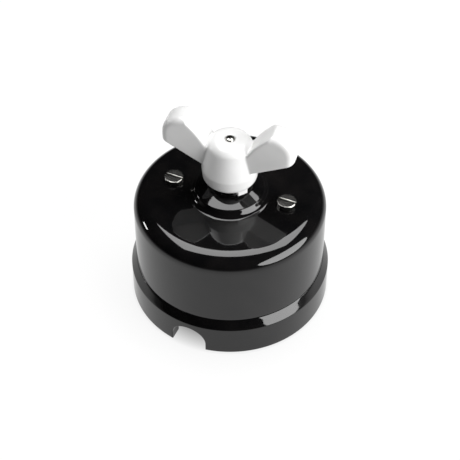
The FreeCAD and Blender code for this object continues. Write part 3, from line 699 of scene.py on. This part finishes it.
def domed_head(radius: float, height: float, dome: float, edge: float) -> np.ndarray:
    """Section of a low domed screw head, from the axis at its foot to the axis at its crown.

    The crown drops towards the rim by dome (r / radius)^2.

    Args:
        radius: Radius of the head.
        height: Height at the axis.
        dome: How far the crown drops towards the rim.
        edge: Rounding of the rim.

    Returns:
        Points of radius and height.
    """
    rim = rounded_line([(0, 0), (radius, 0, edge / 3), (radius, height - dome, edge),
                        (0, height - dome)], step=0.4, arc_steps=8)
    bulge = dome * np.maximum(0, 1 - (rim[:, 0] / radius) ** 2)
    rim[:, 1] += np.where(rim[:, 1] > height / 2, bulge, 0)
    return rim


# Base

@dataclass
class Base:
    """Porcelain base: a rim with a sloping shoulder, a cable notch and holes for every screw."""

    rim_height: float = 12.2
    rim_wall: float = 5.0
    rim_edge: float = 0.6
    shoulder_radius: float = 35.0
    shoulder_height: float = 15.7
    spigot_radius: float = 30.8
    floor_thickness: float = 5.0
    hollow_fillet: float = 2.0
    notch_half: float = 6.6
    notch_height: float = 9.8
    notch_turn: float = -7.3
    notch_points: int = 41
    notch_lip: float = 0.45
    lip_turn: float = 80.0
    lip_points: int = 9
    cable_hole: tuple[float, float, float, float] = (-9.4, 2.6, -29.0, -23.0)
    cable_hole_corner: float = 1.6
    wall_hole_circle: float = 26.0
    wall_hole_turn: float = 27.0
    wall_hole_radius: float = 2.3
    wall_tube_radius: float = 4.8
    recess_top: float = 13.7
    pillar_circle: float = 21.25
    pillar_hole: float = 1.9
    pillar_recess: float = 3.65
    bridge_circle: float = 18.6
    machine_hole: float = 1.65
    nut_flats: float = 5.8
    terminal_side: float = 13.2
    fixing_place: float = 15.89
    fixing_recess: float = 2.9
    pivot_radius: float = 2.6
    pivot_depth: float = 3.6
    around: int = 288
    tube_around: int = 64
    sharp_from: float = 32.0

    def profile(self) -> np.ndarray:
        """The base's section from the axis under its floor round to the axis on its land.

        Returns:
            Points of radius and height.
        """
        low, high = node_size("base")
        radius, land = high[0], high[2]
        floor = self.shoulder_height - self.floor_thickness
        hollow = radius - self.rim_wall
        return rounded_line([
            (0, floor),
            (hollow, floor, self.hollow_fillet),
            (hollow, low[2], self.rim_edge / 2),
            (radius, low[2], self.rim_edge),
            (radius, self.rim_height, self.rim_edge),
            (self.shoulder_radius, self.shoulder_height, self.rim_edge / 2),
            (self.spigot_radius, self.shoulder_height, self.rim_edge / 2),
            (self.spigot_radius, land, self.rim_edge),
            (self.pivot_radius, land),
            (self.pivot_radius, land - self.pivot_depth),
            (0, land - self.pivot_depth),
        ], step=1.2, arc_steps=8)

    def notch(self) -> Part:
        """The cutter of the arched notch, whose mouth opens out into a soft lip.

        The arch is two uprights and a half circle. Along the way out its outline grows by
        lip (1 - cos t) while the depth nears the rim's face as lip sin t, so that the cut edge
        runs smoothly from the arch's wall into the rim.

        Returns:
            A closed part, wider outside the rim than inside it.
        """
        radius, half = node_size("base")[1][0], self.notch_half
        centre = self.notch_height - half
        turn = np.linspace(0, math.pi, self.notch_points)
        outward = np.stack([np.cos(turn), np.sin(turn)], -1)
        arch = half * outward + np.array([0, centre])
        arch = np.concatenate([[(half, -CLEAR)], [(half, centre / 2)], arch,
                               [(-half, centre / 2)], [(-half, -CLEAR)]])
        outward = np.concatenate([[(1, 0), (1, 0)], outward, [(-1, 0), (-1, 0)]])
        mouth = np.radians(np.linspace(0, self.lip_turn, self.lip_points))
        grow = np.concatenate([[0], self.notch_lip * (1 - np.cos(mouth)), [self.notch_lip]])
        places = arch + grow[:, None, None] * outward
        face = np.sqrt(radius ** 2 - places[..., 0] ** 2)
        short = np.concatenate([self.notch_lip * (1 - np.sin(mouth)), [0]])
        depth = np.concatenate([np.full((1, len(arch)), radius / 2), face[1:] - short[:, None]])
        depth[-1] = radius + 2 * CLEAR
        rings = np.stack([places[..., 0], -depth, places[..., 1]], -1)
        count = len(arch)
        faces = grid_faces(len(rings), count, False, True).tolist()
        ends = [list(range(count)), list(range((len(rings) - 1) * count, len(rings) * count))]
        return turned((rings, faces + ends), self.notch_turn)

    def cuts(self) -> list[list[Part]]:
        """Cutters in groups, none of which overlaps another of its group.

        Returns:
            The notch, the cable hole and all drills in the first group, the holes that start in
            the nuts' recesses in the second.
        """
        low, high = node_size("base")
        top, below = high[2] + CLEAR, low[2] - CLEAR
        recess = self.recess_top
        left, right, front, back = self.cable_hole
        corner = self.cable_hole_corner
        cable = rounded_line([(left, front, corner), (right, front, corner), (right, back, corner),
                              (left, back, corner)], step=2, arc_steps=6, closed=True)
        drills, deeper = [self.notch(), prism(cable, below, top)], []
        wall = rod([(self.wall_hole_radius, top)], below)
        pillar = rod([(self.pillar_recess, recess), (self.pillar_hole, top)], below)
        fixing = rod([(self.fixing_recess, recess), (self.machine_hole, top)], below)
        bridge = rod([(self.machine_hole, top)], recess - CLEAR)
        nut = prism(hexagon(self.nut_flats), below, recess)
        for half_turn in (0, 180):
            wall_place = moved(wall, (self.wall_hole_circle, 0, 0))
            drills.append(turned(wall_place, self.wall_hole_turn + half_turn))
            drills.append(turned(moved(pillar, (self.pillar_circle, 0, 0)), half_turn))
            drills.append(turned(moved(nut, (self.bridge_circle, 0, 0)), 90 + half_turn))
            deeper.append(turned(moved(bridge, (self.bridge_circle, 0, 0)), 90 + half_turn))
        for quarter in range(4):
            place = (self.terminal_side, self.fixing_place, 0)
            drills.append(turned(moved(fixing, place), 90 * quarter))
        return [drills, deeper]

    def make(self, paints: Paints) -> bpy.types.Object:
        """Build the base, with its tubes added and its holes cut.

        Args:
            paints: The finishes.

        Returns:
            The finished piece.
        """
        base = build("porcelain_base", [lathe(self.profile(), self.around, closed=False)])
        foot = node_size("base")[0][2]
        floor = self.shoulder_height - self.floor_thickness
        tube = rod([(self.wall_tube_radius, floor + CLEAR)], foot, self.tube_around)
        tube = moved(tube, (self.wall_hole_circle, 0, 0))
        tubes = [turned(tube, self.wall_hole_turn), turned(tube, self.wall_hole_turn + 180)]
        apply_boolean(base, build("wall_tubes", tubes), "UNION")
        for group in self.cuts():
            apply_boolean(base, build("base_cuts", group), "DIFFERENCE")
        smooth_by_angle(base, self.sharp_from)
        paints.dress(base, Finish.GLAZE)
        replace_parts(base, "base")
        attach(base, HOUSING)
        return base


# Cover

@dataclass
class Cover:
    """Porcelain cap with a round shoulder and a raised collar round the spindle's opening.

    The top is slightly crowned, and the collar's top is a cone up to a ring under the knob.
    """

    shoulder: float = 6.0
    edge: float = 0.4
    wall: float = 3.8
    roof: float = 4.3
    roof_fillet: float = 3.0
    crown: float = 0.45
    collar_foot: float = 13.9
    collar_rim: float = 12.6
    collar_height: float = 2.6
    collar_fillet: float = 2.4
    collar_edge: float = 0.7
    cone_radius: float = 8.6
    cone_rise: float = 1.5
    cone_round: float = 3.0
    dome_rise: float = 1.7
    screw_head: float = 1.8
    opening: float = 6.2
    opening_edge: float = 0.6
    hole_radius: float = 1.9
    screw_circle: float = 21.25
    around: int = 288
    hole_around: int = 48
    sharp_from: float = 35.0

    def profile(self) -> np.ndarray:
        """The cap's section as a loop of radius and height.

        The skin's points are raised by crown (1 - (r / screw circle)^2), so that the cap is at its
        plain height at the screws, a little higher at the collar and lower at the shoulder.

        Returns:
            Points of radius and height.
        """
        low, high = node_size("cover")
        radius, foot = high[0], low[2]
        top = node_size("cover_screws")[1][2] - self.screw_head
        rim = top + self.collar_height
        line = rounded_line([
            (radius, foot, self.edge),
            (radius, top, self.shoulder),
            (self.collar_foot, top, self.collar_fillet),
            (self.collar_rim, rim, self.collar_edge),
            (self.cone_radius, rim + self.cone_rise, self.cone_round),
            (self.opening, rim + self.dome_rise, self.opening_edge),
            (self.opening, top - self.roof),
            (radius - self.wall, top - self.roof, self.roof_fillet),
            (radius - self.wall, foot, self.edge),
        ], step=1.0, arc_steps=14, closed=True)
        share = np.clip((line[:, 1] - (top - self.shoulder)) / self.shoulder, 0, 1)
        skin = np.where(line[:, 0] > radius - self.wall, share, line[:, 1] > top - self.roof / 2)
        line[:, 1] += self.crown * skin * (1 - (line[:, 0] / self.screw_circle) ** 2)
        return line

    def make(self, paints: Paints) -> bpy.types.Object:
        """Build the cap with its two screw holes.

        Args:
            paints: The finishes.

        Returns:
            The finished piece.
        """
        cap = build("porcelain_cover", [lathe(self.profile(), self.around, closed=True)])
        low, high = node_size("cover")
        hole = rod([(self.hole_radius, high[2])], low[2], self.hole_around)
        drills = [moved(hole, (side * self.screw_circle, 0, 0)) for side in (1, -1)]
        apply_boolean(cap, build("cover_drill", drills), "DIFFERENCE")
        smooth_by_angle(cap, self.sharp_from)
        paints.dress(cap, Finish.GLAZE)
        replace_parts(cap, "cover")
        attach(cap, HOUSING)
        return cap


# Knob

@dataclass
class Knob:
    """White moulded knob: a bell-shaped boss with two raised wings and a lug under its skirt.

    Heights are measured from the boss's foot. A wing's corners are a place along X, a height and
    a rounding.
    """

    foot_radius: float = 9.7
    foot_round: float = 2.8
    belly_radius: float = 10.15
    belly_height: float = 6.0
    belly_round: float = 0.6
    top_radius: float = 7.7
    crown: float = 0.5
    top_round: float = 3.8
    height: float = 18.9
    hub_radius: float = 4.7
    skirt_hollow: float = 6.3
    skirt_depth: float = 9.0
    screw_way: float = 1.15
    recess_radius: float = 1.85
    recess_depth: float = 1.8
    socket_radius: float = 3.05
    socket_flats: float = 4.9
    socket_depth: float = 13.1
    wing_thickness: float = 9.4
    wing_root: float = 7.0
    wing_bottom: tuple[float, float] = (6.95, 15.9)
    wing_span: float = 24.0
    shoulder: tuple[float, float, float] = (23.9, 25.7, 7.5)
    apex: tuple[float, float, float] = (15.9, 26.45, 1.0)
    brow: tuple[float, float, float] = (11.2, 22.5, 30.0)
    root_top: float = 15.7
    soft_edge: float = 2.4
    tip_edge: float = 2.4
    brow_edge: float = 0.8
    crisp_edge: float = 0.35
    edge_points: int = 13
    least_round: float = 0.2
    lug: tuple[float, float, float] = (6.8, 9.3, 3.9)
    lug_drop: float = 1.0
    lug_turn: float = -43.5
    around: int = 144
    grain: float = 0.25
    smoothing: int = 6

    def boss(self) -> Part:
        """The bell with its hub, skirt hollow, screw way and screw recess, as one turned loop.

        Returns:
            A closed part.
        """
        top = self.height - self.crown
        rise = self.crown * (1 - self.recess_radius / self.top_radius)
        floor = self.height - self.recess_depth
        return lathe(rounded_line([
            (self.screw_way, 0),
            (self.hub_radius, 0),
            (self.hub_radius, self.skirt_depth),
            (self.skirt_hollow, self.skirt_depth),
            (self.skirt_hollow, 0),
            (self.foot_radius, 0, self.foot_round),
            (self.belly_radius, self.belly_height, self.belly_round),
            (self.top_radius, top, self.top_round),
            (self.recess_radius, top + rise),
            (self.recess_radius, floor),
            (self.screw_way, floor),
        ], step=0.8, arc_steps=14, closed=True), self.around, closed=True)

    def wing(self, side: int) -> Part:
        """One wing: its outline in the XZ plane, carried through its thickness.

        Near each face the outline's sides move inwards by r - sqrt(r^2 - d^2), with r the
        rounding of that side and d how far the loop lies past the start of the rounding.

        Args:
            side: 1 for the wing towards +X, -1 for the other.

        Returns:
            A closed part.
        """
        corners = [(self.wing_root, self.wing_bottom[0]), (self.wing_span, self.wing_bottom[1]),
                   self.shoulder, self.apex, self.brow, (self.wing_root, self.root_top)]
        rounds = np.array([self.crisp_edge, self.tip_edge, self.soft_edge, self.brow_edge,
                           self.brow_edge, self.crisp_edge])
        half = self.wing_thickness / 2
        arc = np.linspace(0, math.pi / 2, self.edge_points)
        across = half - self.soft_edge * (1 - np.sin(arc))
        loops = []
        for place in [*-across[::-1], *across]:
            past = np.maximum(0, abs(place) - (half - rounds))
            insets = rounds - np.sqrt(np.maximum(0, rounds ** 2 - past ** 2))
            shrunk = [tuple(point) for point in moved_sides(corners, insets)]
            for here, corner in enumerate(corners):
                if len(corner) > 2:
                    shrunk[here] += (max(self.least_round, corner[2] - insets.max()),)
            loop = rounded_line(shrunk, step=self.wing_span, arc_steps=12, closed=True)
            loops.append(np.stack([side * loop[:, 0], np.full(len(loop), place), loop[:, 1]], -1))
        rings = np.stack(loops)
        count = rings.shape[1]
        faces = grid_faces(len(rings), count, False, True).tolist()
        ends = [list(range(count)), list(range((len(rings) - 1) * count, len(rings) * count))]
        return rings, faces + ends

    def lug_block(self) -> Part:
        """The small lug that reaches down from the skirt's edge.

        Returns:
            A closed part.
        """
        near, far, width = self.lug
        outline = np.array([(near, -width / 2), (far, -width / 2), (far, width / 2),
                            (near, width / 2)])
        return turned(prism(outline, -self.lug_drop, self.lug_drop), self.lug_turn)

    def socket(self) -> Part:
        """The cutter of the flatted socket: a circle cut off by two straight sides.

        Returns:
            A closed part.
        """
        flat = math.asin(self.socket_flats / 2 / self.socket_radius)
        bow = np.linspace(-flat, flat, 12)
        turn = np.concatenate([bow, math.pi + bow])
        outline = self.socket_radius * np.stack([np.cos(turn), np.sin(turn)], -1)
        return prism(outline, -CLEAR, self.socket_depth)

    def make(self, paints: Paints) -> bpy.types.Object:
        """Build the knob and melt its parts into one soft-edged moulding.

        Args:
            paints: The finishes.

        Returns:
            The finished piece.
        """
        lift = node_size("knob")[0][2] + self.lug_drop
        parts = [self.boss(), self.wing(1), self.wing(-1), self.lug_block()]
        knob = build("wing_knob", [moved(part, (0, 0, lift)) for part in parts])
        apply_boolean(knob, build("knob_socket", [moved(self.socket(), (0, 0, lift))]), "DIFFERENCE")
        melt = knob.modifiers.new("melt", "REMESH")
        melt.mode = "VOXEL"
        melt.voxel_size = self.grain * MM
        soften = knob.modifiers.new("soften", "SMOOTH")
        soften.iterations = self.smoothing
        freeze(knob)
        smooth_by_angle(knob, 180)
        paints.dress(knob, Finish.KNOB)
        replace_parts(knob, "knob")
        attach(knob, TURNING)
        return knob


# Screws that show

@dataclass
class CoverScrews:
    """Two slotted nickel screws that hold the cover."""

    head_radius: float = 3.5
    head_height: float = 1.8
    dome: float = 0.02
    edge: float = 0.3
    shank_radius: float = 1.75
    shank_edge: float = 0.3
    slot_width: float = 0.8
    slot_depth: float = 0.8
    slot_flare: tuple[float, float] = (0.09, 0.028)
    slot_turn: float = -6.0
    circle: float = 21.25
    around: int = 96
    sharp_from: float = 40.0

    def make(self, paints: Paints) -> bpy.types.Object:
        """Build both screws.

        Args:
            paints: The finishes.

        Returns:
            The finished piece.
        """
        low, high = node_size("cover_screws")
        seat = high[2] - self.head_height
        head = domed_head(self.head_radius, self.head_height, self.dome, self.edge)
        tip = low[2] - seat
        under = rounded_line([(0, tip), (self.shank_radius, tip, self.shank_edge),
                              (self.shank_radius, 0)], step=2.0, arc_steps=4)
        screw = lathe(np.concatenate([under, head[1:]]), self.around, closed=False)
        places = [(side * self.circle, 0, seat) for side in (1, -1)]
        screws = build("cover_screw_pair", [moved(screw, place) for place in places])
        bar = slot_cutter(2 * self.head_radius + CLEAR, self.slot_width,
                          self.head_height - self.slot_depth, self.head_height, self.slot_flare)
        slot = turned(bar, self.slot_turn)
        apply_boolean(screws, build("slots", [moved(slot, place) for place in places]), "DIFFERENCE")
        smooth_by_angle(screws, self.sharp_from)
        paints.dress(screws, Finish.NICKEL)
        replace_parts(screws, "cover_screws")
        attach(screws, HOUSING)
        return screws


@dataclass
class KnobScrew:
    """The small cross-head screw in the middle of the knob, its head a low cone."""

    head_radius: float = 1.72
    head_height: float = 2.15
    cone: float = 0.33
    edge: float = 0.8
    seat_depth: float = 1.2
    shank_radius: float = 0.95
    cross_width: float = 0.7
    cross_length: float = 1.7
    cross_depth: float = 0.9
    cross_turn: float = 20.0
    around: int = 64
    sharp_from: float = 40.0

    def make(self, paints: Paints) -> bpy.types.Object:
        """Build the screw.

        Args:
            paints: The finishes.

        Returns:
            The finished piece.
        """
        low, high = node_size("knob_screw")
        seat = high[2] - self.seat_depth
        tip = low[2] - seat
        head = rounded_line([
            (0, tip), (self.shank_radius, tip), (self.shank_radius, 0), (self.head_radius, 0),
            (self.head_radius, self.head_height - self.cone, self.edge), (0, self.head_height),
        ], step=0.3, arc_steps=12)
        screw = lathe(head, self.around, closed=False)
        piece = build("cross_head_screw", [moved(screw, (0, 0, seat))])
        bar = slot_cutter(self.cross_length, self.cross_width,
                          self.head_height - self.cross_depth, self.head_height)
        for turn in (self.cross_turn, self.cross_turn + 90):
            cut = moved(turned(bar, turn), (0, 0, seat))
            apply_boolean(piece, build("cross_cut", [cut]), "DIFFERENCE")
        smooth_by_angle(piece, self.sharp_from)
        paints.dress(piece, Finish.NICKEL)
        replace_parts(piece, "knob_screw")
        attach(piece, TURNING)
        return piece


# Studio

@dataclass(frozen=True)
class Panel:
    """A flat lamp: its centre in metres to the right of, beyond and above the switch."""

    name: str
    centre: tuple[float, float, float]
    size: tuple[float, float]
    radiance: float
    faces_down: bool = False
    oval: bool = False


@dataclass
class Studio:
    """Pale table in a dark room, soft lamps and the camera at the photograph's angle.

    The camera's distances are millimetres and its angles degrees. The floor's are metres.
    """

    camera_distance: float = 538.2
    camera_elevation: float = 46.28
    camera_azimuth: float = 17.3
    camera_rise: float = 18.16
    lens: float = 109.53
    sensor: float = 36.0
    floor_side: float = 6.0
    floor_gap: float = 0.00005
    floor_glow: float = 0.87
    floor_grey: float = 0.13
    floor_roughness: float = 0.9
    # Painted shadow under the switch: the share of the floor's glow left there, and the radii in
    # metres over which the full glow comes back.
    painted_shadow_glow: float = 0.35
    painted_shadow_reach: tuple[float, float] = (0.029, 0.038)
    mirrored_glow: float = 0.85
    mirrored_reach: tuple[float, float] = (0.13, 0.30)
    bounce: float = 0.5
    room: float = 0.004
    panels: tuple[Panel, ...] = (
        Panel("ceiling_panel", (0.10, 0.29, 1.0), (1.15, 0.64), 6.0, faces_down=True),
        Panel("right_panel", (0.81, -0.485, 0.30), (1.10, 0.68), 7.4, oval=True),
        Panel("left_strip", (-0.95, 0.24, 0.27), (0.15, 0.11), 18.0),
    )

    def turn(self) -> Matrix:
        """The turn from the camera's own directions to the switch's.

        Returns:
            A turn about the Z axis.
        """
        return Matrix.Rotation(math.radians(self.camera_azimuth), 4, "Z")

    def place_camera(self) -> None:
        """Put the camera on its circle round the switch, looking along its elevation."""
        data = bpy.data.cameras.new("camera")
        data.lens = self.lens
        data.sensor_width = self.sensor
        data.clip_start = 0.01
        eye = bpy.data.objects.new("camera", data)
        bpy.context.scene.collection.objects.link(eye)
        tilt = math.radians(self.camera_elevation)
        back = Vector((0, -math.cos(tilt), math.sin(tilt)))
        up = Vector((0, math.sin(tilt), math.cos(tilt)))
        place = (back * self.camera_distance + up * self.camera_rise) * MM
        lean = Matrix.Rotation(math.pi / 2 - tilt, 4, "X")
        eye.matrix_world = self.turn() @ Matrix.Translation(place) @ lean
        bpy.context.scene.camera = eye

    def hang(self, panel: Panel) -> None:
        """Make one lamp, which faces down or towards the switch.

        Args:
            panel: The lamp's sizes.
        """
        data = bpy.data.lights.new(panel.name, "AREA")
        data.shape = "ELLIPSE" if panel.oval else "RECTANGLE"
        data.size, data.size_y = panel.size
        area = panel.size[0] * panel.size[1] * (math.pi / 4 if panel.oval else 1)
        data.energy = panel.radiance * area * math.pi
        lamp = bpy.data.objects.new(panel.name, data)
        bpy.context.scene.collection.objects.link(lamp)
        away = Vector((0, 0, 1)) if panel.faces_down else Vector(panel.centre)
        facing = away.to_track_quat("Z", "Y").to_matrix().to_4x4()
        lamp.matrix_world = self.turn() @ Matrix.Translation(Vector(panel.centre)) @ facing
        lamp.visible_camera = False

    def lay_floor(self) -> None:
        """A white table that keeps a soft shadow, and that reflections show near the switch.

        Camera and mirror rays see a glow plus a little grey paper, which takes the shadow; all
        other rays see plain white paper. The glow is dimmed under the switch as a painted shadow, and
        in reflections it fades out a hand's breadth away, where the photograph's table ends.
        """
        half = self.floor_side / 2 / MM
        points = np.array([(-half, -half, 0), (half, -half, 0), (half, half, 0), (-half, half, 0)])
        floor = build("floor", [(points, [(0, 1, 2, 3)])])
        floor.location.z = -self.floor_gap
        shader = Shader("pale_floor")
        tree = shader.tree
        rays = tree.nodes.new("ShaderNodeLightPath")
        reach = tree.nodes.new("ShaderNodeVectorMath")
        reach.operation = "LENGTH"
        tree.links.new(shader.coordinates, reach.inputs[0])
        away = reach.outputs["Value"]
        # Painted shadow: the glow that camera and mirror rays see is dimmed under the switch, inside
        # the base's rim.
        under = shader.spread(away, self.painted_shadow_glow, 1.0, *self.painted_shadow_reach)
        table = shader.spread(away, self.mirrored_glow, 0.0, *self.mirrored_reach)
        mirrored = shader.times(rays.outputs["Is Glossy Ray"], table)
        seen = shader.greater(rays.outputs["Is Camera Ray"], rays.outputs["Is Transmission Ray"])
        shown = shader.times(shader.greater(seen, mirrored), under)
        plain = shader.greater(seen, rays.outputs["Is Glossy Ray"])
        grey, white = (self.floor_grey,) * 3, (self.bounce,) * 3
        shader.feed("Base Color", shader.mix(plain, white, grey))
        shader.plain(Roughness=self.floor_roughness, Specular_IOR_Level=0.0,
                     Emission_Color=(1, 1, 1, 1))
        shader.feed("Emission Strength", shader.spread(shown, 0.0, self.floor_glow))
        floor.data.materials.append(shader.material)

    def fill_world(self) -> None:
        """A white background to the camera and a dark room to everything else."""
        world = bpy.data.worlds.new("studio")
        bpy.context.scene.world = world
        world.use_nodes = True
        tree = world.node_tree
        back = tree.nodes["Background"]
        seen = tree.nodes.new("ShaderNodeLightPath")
        level = tree.nodes.new("ShaderNodeMapRange")
        level.inputs["To Min"].default_value = self.room
        level.inputs["To Max"].default_value = 1.0
        tree.links.new(seen.outputs["Is Camera Ray"], level.inputs["Value"])
        tree.links.new(level.outputs["Result"], back.inputs["Strength"])
        back.inputs["Color"].default_value = (1, 1, 1, 1)

    def make(self) -> None:
        """Set up the whole studio."""
        bpy.context.scene.view_settings.view_transform = "Standard"
        self.place_camera()
        self.lay_floor()
        self.fill_world()
        for panel in self.panels:
            self.hang(panel)


def main() -> None:
    """Build every piece in order and report it."""
    logging.basicConfig(level=logging.INFO, format="%(message)s")
    paints = Paints()
    makers = (Base(), Cover(), Knob(), CoverScrews(), KnobScrew())
    made = [maker.make(paints) for maker in makers]
    for piece in made:
        log.info("%s: %d faces", piece.name, len(piece.data.polygons))
    paints.dress_nodes({node for piece in made for node in piece["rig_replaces"]})
    Studio().make()


if __name__ == "__main__":
    main()
